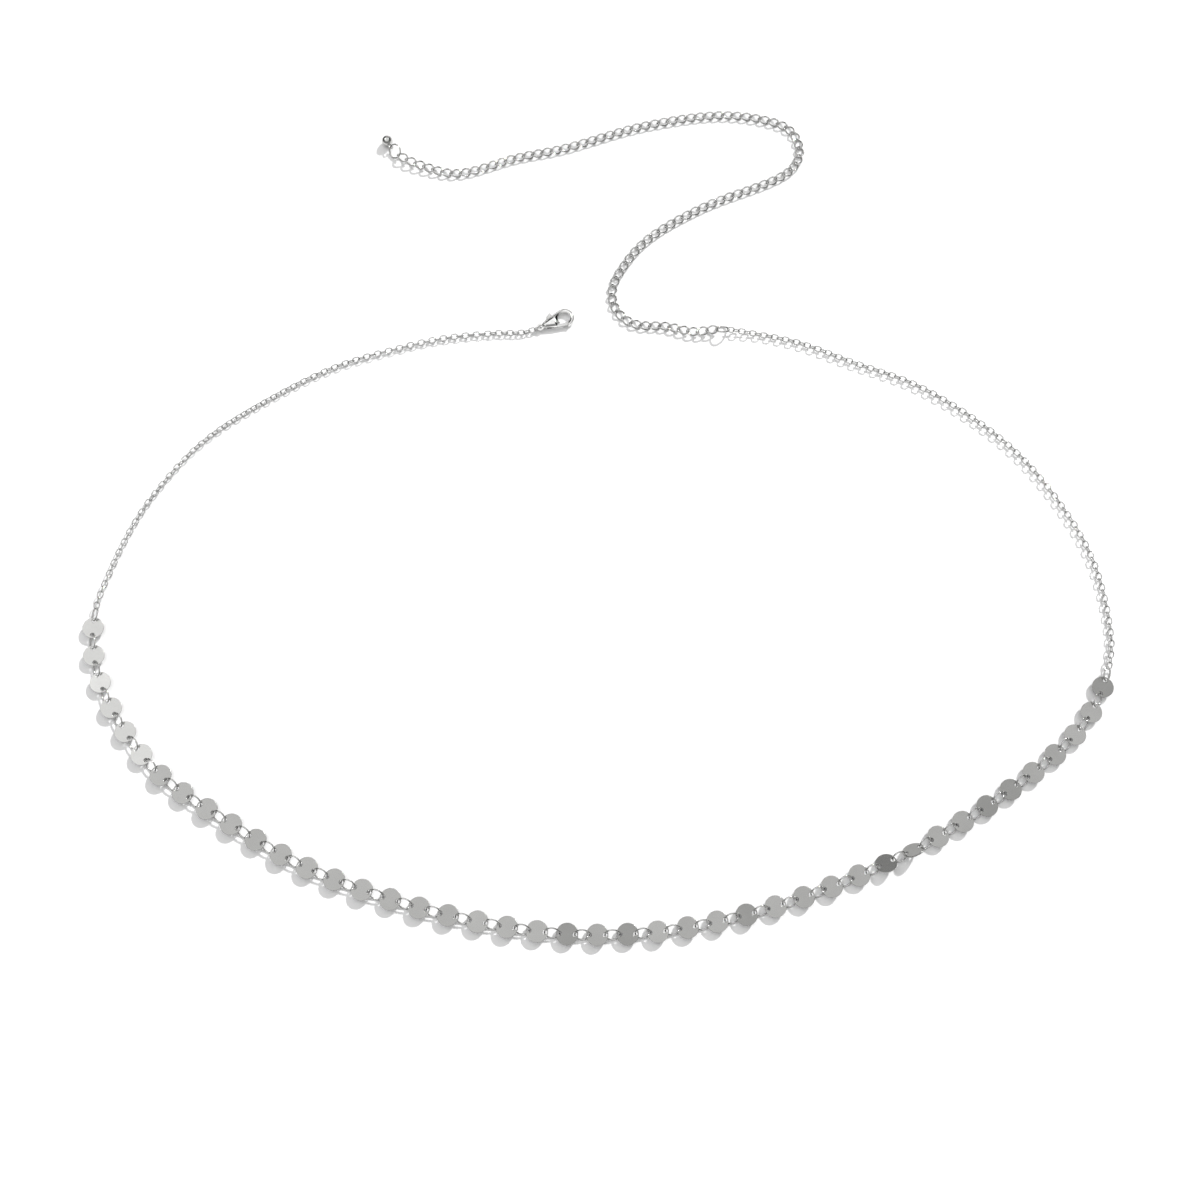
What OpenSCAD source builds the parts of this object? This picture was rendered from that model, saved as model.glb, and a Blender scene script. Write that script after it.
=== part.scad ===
// Waist chain: a front row of round discs on jump rings, two lengths of fine cable chain,
// a lobster clasp, and a curb extender that ends in a small ball. It lies flat, millimetres.

/* [Discs] */
// Number of discs along the front
disc_count = 43; // [20:1:60]
// Diameter of a disc
disc_d = 6; // [5:0.1:8]
// Thickness of a disc
disc_t = 0.35; // [0.25:0.05:0.6]
// Metal left between a hole and the disc's edge
disc_rim = 0.3; // [0.2:0.05:0.5]
// Free space all round the ring's wire in a hole
hole_clear = 0.18; // [0.12:0.02:0.3]
// How far the discs roll from flat, either way about the mean
disc_sway = 3; // [0:0.5:6]

/* [Rings] */
// Diameter of a disc ring, through the middle of its wire
ring_d = 4; // [3.4:0.1:5]
// Wire of a disc ring
ring_wire = 0.45; // [0.35:0.05:0.6]
// Lean of the disc rings from flat, in degrees
ring_tilt = 52; // [46:1:65]
// Diameter of the extender's two jump rings, through the middle of the wire
jump_d = 4.1; // [3.4:0.1:5.4]
// Wire of the jump rings
jump_wire = 0.5; // [0.4:0.05:0.7]
// Lean of the jump rings from flat, in degrees
jump_tilt = 42; // [36:1:50]

/* [Fine chain] */
// Length of the fine chain from the clasp to the discs
left_len = 167.2; // [120:0.2:240]
// Length of the fine chain from the discs to the extender
right_len = 166.8; // [120:0.2:240]
// Outer width of the fine chain
fine_w = 1.9; // [1.5:0.05:2.4]
// Outer length of one fine link
fine_l = 2.44; // [2.2:0.02:3]
// Wire of a fine link
fine_wire = 0.34; // [0.26:0.02:0.42]

/* [Extender chain] */
// Number of curb links
curb_count = 87; // [40:1:110]
// Distance from one curb link to the next
curb_pitch = 2.93; // [2.6:0.01:3.4]
// Outer width of a curb link
curb_w = 3; // [2.6:0.05:3.6]
// Wire of a curb link
curb_wire = 0.5; // [0.4:0.02:0.6]
// Twist of a curb link from its middle to each end, in degrees
curb_twist = 42; // [36:1:50]

/* [Clasp] */
// From the clasp's eye to the centre of its round head
clasp_reach = 7.7; // [7.2:0.1:9]
// Diameter of the round head
clasp_head_d = 5.9; // [5.5:0.1:6.8]
// Diameter of the narrow tail
clasp_tail_d = 1.9; // [1.6:0.1:2.4]
// Thickness of the clasp
clasp_t = 2.2; // [2:0.1:3]
// Width of the hook's band
hook_w = 1; // [0.8:0.05:1.3]
// Outer diameter of the eye
eye_d = 2.3; // [2.1:0.1:2.8]
// Hole of the eye
eye_hole_d = 1.2; // [1:0.05:1.3]
// Thickness of the eye
eye_t = 0.8; // [0.5:0.05:0.9]
// From the eye to the lever's pin
pin_at = 3.7; // [3.5:0.1:4.1]
// Diameter of the lever's pin
pin_d = 0.8; // [0.6:0.05:1]
// Running gap round the pin
pin_clear = 0.02; // [0.01:0.01:0.06]
// Thickness of the lever
lever_t = 0.74; // [0.5:0.02:0.9]
// Gap between the lever and each cheek
lever_gap = 0.08; // [0.05:0.01:0.12]
// Width of the lever's gate
gate_w = 0.8; // [0.6:0.05:1]
// Gap between the gate and the hook's tip
gate_gap = 0.08; // [0.05:0.01:0.15]
// Length of the thumb tab along the clasp
thumb_len = 2; // [1.2:0.1:2.2]
// How far the thumb tab stands out of the clasp
thumb_out = 1.2; // [0.9:0.1:1.6]

/* [Ball] */
// Diameter of the ball at the extender's end
ball_d = 3.4; // [2.6:0.1:4.4]
// Diameter of the ball's eye, through the middle of its wire
ball_eye_d = 1.7; // [1.5:0.1:2.4]
// Wire of the ball's eye
ball_eye_wire = 0.4; // [0.3:0.05:0.5]

/* [Hidden] */
link_gap = 0.12;       // space between two pieces that hook into each other
curb_gap = 0.18;       // the same between two curb links, which cross at a slant
silver = [0.78, 0.78, 0.76];
satin = [0.72, 0.72, 0.70];
dark = [0.6, 0.6, 0.6];

// The way that the whole chain lies, from the clasp's eye to the ball
route = [[-17.5, 53.6], [-20.5, 52.4], [-24, 51.8], [-31, 51.7], [-44.5, 50.4], [-57.5, 47.5],
         [-80, 40.2], [-103, 27.2], [-117.5, 16.2], [-128.2, 3.2], [-135.5, -9.2], [-141.2, -23.7],
         [-143.9, -34.7],
         [-143.4, -48], [-137, -63.5], [-122.8, -81.5], [-102, -95.5], [-80.5, -107.5],
         [-57.5, -116], [-34, -122], [-9, -125.5], [15.5, -125], [40, -120.5], [63.5, -113],
         [86.5, -103], [107.5, -91], [127.6, -76.6], [138.8, -64.5], [145.4, -49.5],
         [146.2, -37.2], [143.5, -20.8], [137, -5.8], [125.6, 11.1], [111.4, 24.3], [94.5, 35.2],
         [77, 42], [59, 49], [38.5, 52.7],
         [29, 51.9], [20.5, 54.1], [11.5, 54.5], [6.2, 58.2], [4, 64.5], [6.5, 72], [15.5, 83.5],
         [33, 94.5], [55.5, 104], [62.5, 110.5], [62.2, 118.3], [56.3, 123.7], [38.5, 126.6],
         [14, 122.7], [-10, 115], [-25.5, 111.5], [-43, 106], [-54.5, 108.3], [-62.8, 112.2],
         [-66.5, 117.5]];
// Discs that lie turned over further: number from the left, roll in degrees
turned = [[33, 32], [34, 55]];

// Catmull-Rom curve through the route, cut into short steps, with the length up to each
STEPS = 8;
function curve(a, b, c, d, t) =
    0.5 * (2 * b + (c - a) * t + (2 * a - 5 * b + 4 * c - d) * t * t
           + (3 * b - a - 3 * c + d) * t * t * t);
last = len(route) - 1;
function stop(i) = route[min(max(i, 0), last)];
trail = [for (i = [0 : last - 1]) for (k = [0 : STEPS - 1])
             curve(stop(i - 1), stop(i), stop(i + 1), stop(i + 2), k / STEPS), route[last]];
trail_s = [for (i = 0, s = 0; i < len(trail);
                s = s + norm(stop_on_trail(i + 1) - trail[i]), i = i + 1) s];
function stop_on_trail(i) = trail[min(i, len(trail) - 1)];
trail_x = [for (i = [0 : len(trail) - 1]) [trail_s[i], trail[i][0]]];
trail_y = [for (i = [0 : len(trail) - 1]) [trail_s[i], trail[i][1]]];
trail_len = trail_s[len(trail) - 1];
trail_dir = (route[last] - route[last - 1]) / norm(route[last] - route[last - 1]);
function flat_at(s) = [lookup(s, trail_x), lookup(s, trail_y)] + max(0, s - trail_len) * trail_dir;

// Lengths of the pieces along the chain, and how far they hook into each other
ring_r = ring_d / 2;
jump_r = jump_d / 2;
fine_half = (fine_l - fine_wire) / 2;
fine_side = (fine_w - fine_wire) / 2;
curb_half = (curb_pitch + curb_wire + curb_gap) / 2;
curb_side = (curb_w - curb_wire) / 2;
hole_d = disc_t / tan(ring_tilt) + ring_wire / sin(ring_tilt) + 2 * hole_clear;
hole_off = disc_d / 2 - disc_rim - hole_d / 2;
disc_pitch = 2 * hole_off + ring_d;
function hook(wire_a, wire_b) = (wire_a + wire_b) / 2 + link_gap;

// Places along the route where each section starts and ends
left_end = left_len;
first_ring = left_end - hook(fine_wire, ring_wire);
first_disc = first_ring + ring_d + hole_off;
last_disc = first_disc + (disc_count - 1) * disc_pitch;
last_ring = last_disc + hole_off;
right_start = last_ring + ring_d - hook(fine_wire, ring_wire);
right_end = right_start + right_len;
jump_start = right_end - hook(fine_wire, jump_wire);
curb_start = jump_start + jump_d - hook(jump_wire, curb_wire);
curb_end = curb_start + (curb_count - 1) * curb_pitch + 2 * curb_half;
curb_split = ceil(curb_count / 2);
end_start = curb_end - hook(jump_wire, curb_wire);
eye_start = end_start + jump_d - hook(jump_wire, ball_eye_wire);

// Heights: everything rests on the surface at zero
disc_z = ring_r * sin(ring_tilt) + ring_wire / 2;
fine_z = fine_w / 2;
jump_z = jump_r * sin(jump_tilt) + jump_wire / 2;
curb_z = curb_side * sin(curb_twist * sqrt(0.5)) * sqrt(0.5) + curb_wire / 2;
ramp = 9;              // length over which the chain climbs to a ring that stands higher
heights = [[0, clasp_t / 2], [ramp, fine_z], [first_ring - ramp, fine_z], [first_ring, disc_z],
           [last_ring + ring_d, disc_z], [last_ring + ring_d + ramp, fine_z],
           [jump_start - ramp, fine_z], [jump_start, jump_z], [jump_start + jump_d, jump_z],
           [jump_start + jump_d + 2 * ramp, curb_z], [end_start - 2 * ramp, curb_z],
           [end_start, jump_z]];
function at(s) = [flat_at(s)[0], flat_at(s)[1], lookup(s, heights)];

// Rolls about the chain's own line
function turn_of(i) = max([0, for (row = turned) if (row[0] == i + 1) row[1]]);
function disc_roll(i) = -max(disc_sway * (1 + sin(137 * i)), turn_of(i));
function disc_lift(i) =
    max(disc_z, disc_d / 2 * sin(-disc_roll(i)) + disc_t / 2 * cos(disc_roll(i)));
function disc_s(i) = first_disc + i * disc_pitch;
function hole(i, side) = [flat_at(disc_s(i) + side * hole_off)[0],
                          flat_at(disc_s(i) + side * hole_off)[1], disc_lift(i)];

// Lays a piece whose own X axis runs from point a to point b, rolled about that line
module lay(a, b, roll = 0) {
    d = b - a;
    translate((a + b) / 2)
        rotate([0, -atan2(d[2], norm([d[0], d[1]])), atan2(d[1], d[0])])
            rotate([roll, 0, 0]) children();
}

// Round wire ring in the XY plane
module wire_ring(r, wire) {
    rotate_extrude($fn = 48) translate([r, 0]) circle(d = wire, $fn = 24);
}

// Oval link in the XY plane: two half rings and two straight sides
module oval_link(half, side, wire) {
    straight = 2 * (half - side);
    for (end = [-1, 1])
        translate([end * (half - side), 0, 0]) rotate([0, 0, end * 90 - 90])
            rotate([0, 0, -90]) rotate_extrude(angle = 180, $fn = 48)
                translate([side, 0]) circle(d = wire, $fn = 24);
    for (y = [-side, side])
        translate([0, y, 0]) rotate([0, 90, 0])
            cylinder(h = straight, d = wire, center = true, $fn = 24);
}

// The two triangles of a four-sided face
function halves(a, b, c, d) = [[a, b, c], [a, c, d]];

// Curb link: an oval of wire whose two ends are turned against each other
CURB_RINGS = 12;
CURB_SIDES = 5;
function curb_line(a) = [curb_half * cos(a), curb_side * sin(a) * cos(curb_twist * cos(a)),
                         curb_side * sin(a) * sin(curb_twist * cos(a))];
module curb_link() {
    pts = [for (i = [0 : CURB_RINGS - 1])
               let (a = i * 360 / CURB_RINGS, c = curb_line(a),
                    along = curb_line(a + 5) - curb_line(a - 5),
                    t = along / norm(along),
                    out = c - t * (c * t), n = out / norm(out), b = cross(t, n))
                   for (k = [0 : CURB_SIDES - 1])
                       let (w = k * 360 / CURB_SIDES)
                           c + curb_wire / 2 * (cos(w) * n + sin(w) * b)];
    faces = [for (i = [0 : CURB_RINGS - 1]) for (k = [0 : CURB_SIDES - 1])
                 let (j = (i + 1) % CURB_RINGS, l = (k + 1) % CURB_SIDES)
                     each halves(i * CURB_SIDES + k, j * CURB_SIDES + k,
                                 j * CURB_SIDES + l, i * CURB_SIDES + l)];
    polyhedron(points = pts, faces = faces);
}

// Fine chain: a real link at each end and one tube of the chain's outer size between them
TUBE_SIDES = 8;
TUBE_RINGS = 39;
module fine_tube(from, to) {
    pts = [for (i = [0 : TUBE_RINGS - 1])
               let (s = from + (to - from) * i / (TUBE_RINGS - 1), c = at(s),
                    d = flat_at(s + 0.2) - flat_at(s - 0.2), n = [-d[1], d[0], 0] / norm(d))
                   for (k = [0 : TUBE_SIDES - 1])
                       let (w = k * 360 / TUBE_SIDES)
                           c + fine_w / 2 * (cos(w) * n + sin(w) * [0, 0, 1])];
    sides = [for (i = [0 : TUBE_RINGS - 2]) for (k = [0 : TUBE_SIDES - 1])
                 let (l = (k + 1) % TUBE_SIDES)
                     each halves(i * TUBE_SIDES + k, (i + 1) * TUBE_SIDES + k,
                                 (i + 1) * TUBE_SIDES + l, i * TUBE_SIDES + l)];
    caps = [[for (k = [0 : TUBE_SIDES - 1]) k],
            [for (k = [TUBE_SIDES - 1 : -1 : 0]) (TUBE_RINGS - 1) * TUBE_SIDES + k]];
    polyhedron(points = pts, faces = concat(sides, caps));
}

module fine_chain(from, to, from_roll, to_roll) {
    inset = 2 * fine_half + fine_wire / 2 + link_gap;
    lay(at(from), at(from + 2 * fine_half), from_roll) oval_link(fine_half, fine_side, fine_wire);
    lay(at(to - 2 * fine_half), at(to), to_roll) oval_link(fine_half, fine_side, fine_wire);
    fine_tube(from + inset, to - inset);
}

module fine_chain_left() {
    color(silver) fine_chain(0, left_end, 90, ring_tilt - 90);
}

module fine_chain_right() {
    color(silver) fine_chain(right_start, right_end, ring_tilt - 90, jump_tilt - 90);
}

module disc() {
    difference() {
        cylinder(h = disc_t, d = disc_d, center = true, $fn = 64);
        for (x = [-hole_off, hole_off])
            translate([x, 0, 0]) cylinder(h = 2 * disc_t, d = hole_d, center = true, $fn = 32);
    }
}

module discs() {
    color(satin) for (i = [0 : disc_count - 1]) lay(hole(i, -1), hole(i, 1), disc_roll(i)) disc();
}

module disc_rings() {
    a = hole(0, -1);
    b = hole(disc_count - 1, 1);
    color(silver) {
        for (i = [0 : disc_count - 2])
            lay(hole(i, 1), hole(i + 1, -1), ring_tilt) wire_ring(ring_r, ring_wire);
        lay(at(first_ring), a, ring_tilt) wire_ring(ring_r, ring_wire);
        lay(b, at(last_ring + ring_d), ring_tilt) wire_ring(ring_r, ring_wire);
    }
}

module curb_links(from, to) {
    for (i = [from : to])
        lay(at(curb_start + i * curb_pitch), at(curb_start + i * curb_pitch + 2 * curb_half))
            curb_link();
}

module extender_lower() {
    color(silver) curb_links(0, curb_split - 1);
}

module extender_upper() {
    color(silver) curb_links(curb_split, curb_count - 1);
}

module jump_ring() {
    color(silver) lay(at(jump_start), at(jump_start + jump_d), jump_tilt)
        wire_ring(jump_r, jump_wire);
}

module end_ring() {
    color(silver) lay(at(end_start), at(end_start + jump_d), -jump_tilt)
        wire_ring(jump_r, jump_wire);
}

module end_ball() {
    eye_end = eye_start + ball_eye_d;
    ball_at = eye_end + ball_d / 2 - ball_eye_wire;
    centre = [flat_at(ball_at)[0], flat_at(ball_at)[1], ball_d / 2];
    color(silver) {
        translate(centre) sphere(d = ball_d, $fn = 48);
        lay(at(eye_start), at(eye_end), 90 - jump_tilt) wire_ring(ball_eye_d / 2, ball_eye_wire);
    }
}

// Clasp, drawn with its eye at the origin, its head towards +X and its gate towards -Y
head_r = clasp_head_d / 2;
tail_r = clasp_tail_d / 2;
tail_x = eye_d / 2 + tail_r / 2;
band_r = head_r - hook_w / 2;
open_r = head_r - hook_w;
spine = asin((head_r - tail_r) / (clasp_reach - tail_x));
pin = [pin_at, -0.15];
slot_t = lever_t + 2 * lever_gap;
slot_x = tail_x + 0.2;
tip_turn = -80;        // where the hook's tip lies on the head, in degrees
tip = [clasp_reach + band_r * cos(tip_turn), band_r * sin(tip_turn)];
gate_reach = norm(tip - pin);
function edge_y(x) = (tail_r + (x - tail_x) * sin(spine)) / cos(spine);
bend = [pin_at + 0.9, -edge_y(pin_at + 0.9) + gate_w / 2 + 0.02];
clasp_turn = 22;       // the clasp lies turned this far from the +X axis
bevel = 0.22;          // the cheeks' outer faces are this much smaller all round

module place_clasp() {
    translate([route[0][0], route[0][1], clasp_t / 2]) rotate([0, 0, clasp_turn]) children();
}

// Points of an arc round a centre on the clasp's line
function arc(x, r, from, to, steps) =
    [for (k = [0 : steps]) [x, 0] + r * [cos(from + (to - from) * k / steps),
                                         sin(from + (to - from) * k / steps)]];

// Head and tail joined by the lines that touch both
module teardrop(inset) {
    polygon(concat(arc(clasp_reach, head_r - inset, -90 - spine, 90 + spine, 48),
                   arc(tail_x, tail_r - inset, 90 + spine, 270 - spine, 18)));
}

// Where the gate lies: between the cheeks' lobe and the hook's tip
module gate_way() {
    far = pin_at + gate_reach + 1;
    deep = 2 * head_r;
    intersection() {
        translate(pin) circle(r = gate_reach + gate_gap, $fn = 128);
        polygon([[pin_at + 0.6, -deep], [far, -deep], [far, -0.9], [clasp_reach - 1.2, -0.9],
                 [pin_at + 1.35, -1.2], [pin_at + 0.95, -1.75]]);
    }
}

// Slot between the cheeks for the lever, open at the spine and at the gate
module slot_plan() {
    far = 2 * head_r;
    polygon([[slot_x, -far], [clasp_reach, -far], [clasp_reach, 0.3], [pin_at + 1.75, 0.6],
             [pin_at + 1.2, far], [slot_x, far]]);
}

module body_plan(inset) {
    difference() {
        teardrop(inset);
        translate([clasp_reach, 0]) circle(r = open_r + inset / 2, $fn = 64);
        gate_way();
    }
}

module clasp_body() {
    color(silver) place_clasp() {
        difference() {
            union() {
                linear_extrude(height = clasp_t, center = true) body_plan(bevel);
                linear_extrude(height = clasp_t - 2 * bevel, center = true) body_plan(0);
            }
            linear_extrude(height = slot_t, center = true) slot_plan();
        }
        translate(pin) cylinder(h = clasp_t - bevel, d = pin_d, center = true, $fn = 32);
        difference() {
            linear_extrude(height = eye_t, center = true) {
                circle(d = eye_d, $fn = 48);
                translate([0, -eye_d / 4]) square([tail_x, eye_d / 2]);
            }
            cylinder(h = 2 * eye_t, d = eye_hole_d, center = true, $fn = 32);
        }
    }
}

// Sector of a ring round the head's centre
module head_sector(r_in, r_out, from, to) {
    translate([clasp_reach, 0]) difference() {
        intersection() {
            circle(r = r_out, $fn = 96);
            polygon([[0, 0], 9 * [cos(from), sin(from)], 9 * [cos(to), sin(to)]]);
        }
        circle(r = r_in, $fn = 96);
    }
}

// Lever: hub, gate along the clasp's lower line, a nose that rests inside the hook's tip,
// and a neck with the thumb tab outside the spine
module lever_plan() {
    thumb_x = pin_at - 0.05;
    nose_r = open_r - gate_gap;
    translate(pin) circle(d = pin_d + 1, $fn = 48);
    intersection() {
        translate(pin) circle(r = gate_reach, $fn = 128);
        union() {
            polygon([pin + [-0.55, -0.75], bend + [0, -gate_w / 2],
                     tip + [1, -gate_w / 2 - 0.02], tip + [1, gate_w / 2],
                     bend + [0.5, gate_w / 2 + 0.05], pin + [0.75, 0.5]]);
            head_sector(nose_r - 0.38, band_r, -100, -66);
        }
    }
    head_sector(nose_r - 0.38, nose_r, -100, -46);
    polygon([pin + [0.75, 0.35], [thumb_x + 0.55, edge_y(thumb_x) + 0.6],
             [thumb_x - 0.75, edge_y(thumb_x) + 0.4], pin + [-0.85, 0.1]]);
    translate([thumb_x, edge_y(thumb_x)]) rotate([0, 0, spine])
        polygon([[-thumb_len / 2, 0.3], [thumb_len / 2, 0.3], [thumb_len / 2, thumb_out],
                 [-thumb_len / 2 + 0.3, thumb_out * 0.7]]);
}

module clasp_lever() {
    color(dark) place_clasp() difference() {
        linear_extrude(height = lever_t, center = true) lever_plan();
        translate(pin) cylinder(h = clasp_t, d = pin_d + 2 * pin_clear, center = true, $fn = 32);
    }
}

clasp_body();
clasp_lever();
fine_chain_left();
disc_rings();
discs();
fine_chain_right();
jump_ring();
extender_lower();
extender_upper();
end_ring();
end_ball();
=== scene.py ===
import math

import bmesh
import bpy
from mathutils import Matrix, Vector


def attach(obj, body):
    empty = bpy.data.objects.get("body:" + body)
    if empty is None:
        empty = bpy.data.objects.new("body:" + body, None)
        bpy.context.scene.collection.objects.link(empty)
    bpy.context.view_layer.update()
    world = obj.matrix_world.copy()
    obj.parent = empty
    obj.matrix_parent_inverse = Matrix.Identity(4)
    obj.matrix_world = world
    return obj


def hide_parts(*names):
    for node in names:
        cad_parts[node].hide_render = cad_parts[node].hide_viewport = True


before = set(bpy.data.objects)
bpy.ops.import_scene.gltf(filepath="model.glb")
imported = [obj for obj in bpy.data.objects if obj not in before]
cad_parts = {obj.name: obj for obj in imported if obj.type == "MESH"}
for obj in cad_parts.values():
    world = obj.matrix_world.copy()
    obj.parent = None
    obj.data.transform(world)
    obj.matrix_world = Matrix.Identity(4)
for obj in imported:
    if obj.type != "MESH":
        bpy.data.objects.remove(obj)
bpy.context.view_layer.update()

print("frame loaded")

mm = 0.001

photoView = {
    "target": (0.5, -31.5, 0.0),  # mm, the point of the floor in the middle of the frame
    "elevation": 75.0,  # degrees above the floor
    "distance": 425.0,  # mm
    "focalLength": 1475.0,  # in pixels of a frame that is 1200 wide
    "frameWidth": 1200.0,
    "sensorWidth": 36.0,  # mm
    "clip": (0.01, 20.0),  # metres
}


def placed(name, data):  # a new object in the scene
    thing = bpy.data.objects.new(name, data)
    bpy.context.scene.collection.objects.link(thing)
    return thing


def placeCamera():
    data = bpy.data.cameras.new("photoCamera")
    data.sensor_width = photoView["sensorWidth"]
    data.lens = photoView["sensorWidth"] * photoView["focalLength"] / photoView["frameWidth"]
    data.clip_start, data.clip_end = photoView["clip"]
    camera = placed("photoCamera", data)
    tilt = math.radians(photoView["elevation"])
    target = Vector(photoView["target"]) * mm
    back = Vector((0.0, -math.cos(tilt), math.sin(tilt)))
    camera.location = target + back * photoView["distance"] * mm
    camera.rotation_euler = (math.pi / 2 - tilt, 0.0, 0.0)
    bpy.context.scene.camera = camera


placeCamera()
print("camera placed")

# The way that the chain lies, from the clasp's eye to the ball, in mm
chainRoute = [
    (-17.5, 53.6), (-20.5, 52.4), (-24, 51.8), (-31, 51.7), (-44.5, 50.4), (-57.5, 47.5),
    (-80, 40.2), (-103, 27.2), (-117.5, 16.2), (-128.2, 3.2), (-135.5, -9.2), (-141.2, -23.7),
    (-143.9, -34.7),
    (-143.4, -48), (-137, -63.5), (-122.8, -81.5), (-102, -95.5), (-80.5, -107.5), (-57.5, -116),
    (-34, -122), (-9, -125.5), (15.5, -125), (40, -120.5), (63.5, -113), (86.5, -103),
    (107.5, -91), (127.6, -76.6), (138.8, -64.5), (145.4, -49.5), (146.2, -37.2), (143.5, -20.8),
    (137, -5.8), (125.6, 11.1), (111.4, 24.3), (94.5, 35.2), (77, 42), (59, 49), (38.5, 52.7),
    (29, 51.9), (20.5, 54.1), (11.5, 54.5), (6.2, 58.2), (4, 64.5), (6.5, 72), (15.5, 83.5),
    (33, 94.5), (55.5, 104), (62.5, 110.5), (62.2, 118.3), (56.3, 123.7), (38.5, 126.6), (14, 122.7),
    (-10, 115), (-25.5, 111.5), (-43, 106), (-54.5, 108.3), (-62.8, 112.2), (-66.5, 117.5),
]

discSizes = {
    "count": 43,
    "diameter": 6.0,
    "thickness": 0.35,
    "rim": 0.3,  # metal outside a hole
    "holeClearance": 0.18,
    "sway": 3.0,  # degrees
    "swayStep": 137,  # degrees of phase from one disc to the next
    "turned": {33: 32.0, 34: 55.0},  # number from the left: roll in degrees
    "paintedReflectionTone": 0.68,  # least tone of the first discs at the left, from 0 to 1: painted reflection, paler where the bright light on the left is mirrored
    "paintedReflectionUpTo": 6,
    "plainTone": 0.25,
    # painted shade: the tone of the listed darker discs
    "paintedShadeTone": 0.05,
    "toneSpread": 0.15,
    "paintedShadeDiscs": (22, 24, 28, 34, 37, 38, 43),  # numbers from the left of the discs darkened with painted shade, in place of the darker reflections of their tilt
    "edgeRounding": 0.09,
}
ringSizes = {"diameter": 4.0, "wire": 0.45, "tilt": 52.0, "seam": 0.05, "seamAngle": 78.0}
jumpSizes = {"diameter": 4.1, "wire": 0.5, "tilt": 42.0, "seam": 0.05, "seamAngle": 100.0}
fineSizes = {
    "leftLength": 167.2,
    "rightLength": 166.8,
    "width": 1.9,
    "length": 2.44,
    "wire": 0.34,
    "pitch": 1.68,
    "waver": 5.0,  # degrees between a link's least and greatest roll
}
curbSizes = {"count": 87, "pitch": 2.93, "width": 3.0, "wire": 0.5, "twist": 42.0, "gap": 0.18}
ballSizes = {"diameter": 3.4, "eye": 1.7, "eyeWire": 0.4, "sides": 48, "rows": 28}
claspSizes = {"thickness": 2.2}
linkGap = 0.12
rampLength = 9.0  # of the strand, over which its height changes
# Points along each wire and around it, and along a disc's edges
wireSteps = {"ring": (44, 12), "fine": (14, 6), "curb": (18, 8)}
discSteps = {"rim": 72, "hole": 24}


def curvePoint(a, b, c, d, t):
    return tuple(
        0.5 * (2 * b[k] + (c[k] - a[k]) * t + (2 * a[k] - 5 * b[k] + 4 * c[k] - d[k]) * t * t
               + (3 * b[k] - a[k] - 3 * c[k] + d[k]) * t ** 3)
        for k in (0, 1)
    )


def trailAlong(route, steps=8):  # the smooth trail as (length so far, place)
    last = len(route) - 1
    points = []
    for i in range(last):
        a, b, c, d = (route[min(max(i + k, 0), last)] for k in (-1, 0, 1, 2))
        points += [curvePoint(a, b, c, d, k / steps) for k in range(steps)]
    points.append(route[last])
    trail, s = [(0.0, points[0])], 0.0
    for p, q in zip(points, points[1:]):
        s += math.dist(p, q)
        trail.append((s, q))
    return trail


chainTrail = trailAlong(chainRoute)


def flatAt(s):
    end, p = chainTrail[-1]
    if s > end:  # straight on past the last point
        q = chainRoute[-2]
        d = math.dist(p, q)
        return tuple(p[k] + (s - end) * (p[k] - q[k]) / d for k in (0, 1))
    low, high = 0, len(chainTrail) - 1
    while high - low > 1:
        middle = (low + high) // 2
        if chainTrail[middle][0] <= s:
            low = middle
        else:
            high = middle
    s0, p0 = chainTrail[low]
    s1, p1 = chainTrail[high]
    t = (s - s0) / (s1 - s0)
    return tuple(p0[k] + t * (p1[k] - p0[k]) for k in (0, 1))


def sine(degrees):
    return math.sin(math.radians(degrees))


def cosine(degrees):
    return math.cos(math.radians(degrees))


def hookDepth(wireA, wireB):
    return (wireA + wireB) / 2 + linkGap


fineHalf = (fineSizes["length"] - fineSizes["wire"]) / 2
fineSide = (fineSizes["width"] - fineSizes["wire"]) / 2
curbHalf = (curbSizes["pitch"] + curbSizes["wire"] + curbSizes["gap"]) / 2
curbSide = (curbSizes["width"] - curbSizes["wire"]) / 2
holeDiameter = (
    discSizes["thickness"] * cosine(ringSizes["tilt"]) / sine(ringSizes["tilt"])
    + ringSizes["wire"] / sine(ringSizes["tilt"])
    + 2 * discSizes["holeClearance"]
)
holeOffset = discSizes["diameter"] / 2 - discSizes["rim"] - holeDiameter / 2
discPitch = 2 * holeOffset + ringSizes["diameter"]

# Lengths along the chain at which each section starts and ends
leftEnd = fineSizes["leftLength"]
firstRing = leftEnd - hookDepth(fineSizes["wire"], ringSizes["wire"])
firstDisc = firstRing + ringSizes["diameter"] + holeOffset
lastDisc = firstDisc + (discSizes["count"] - 1) * discPitch
lastRing = lastDisc + holeOffset
rightStart = lastRing + ringSizes["diameter"] - hookDepth(fineSizes["wire"], ringSizes["wire"])
rightEnd = rightStart + fineSizes["rightLength"]
jumpStart = rightEnd - hookDepth(fineSizes["wire"], jumpSizes["wire"])
curbStart = jumpStart + jumpSizes["diameter"] - hookDepth(jumpSizes["wire"], curbSizes["wire"])
curbEnd = curbStart + (curbSizes["count"] - 1) * curbSizes["pitch"] + 2 * curbHalf
endStart = curbEnd - hookDepth(jumpSizes["wire"], curbSizes["wire"])
eyeStart = endStart + jumpSizes["diameter"] - hookDepth(jumpSizes["wire"], ballSizes["eyeWire"])

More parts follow.
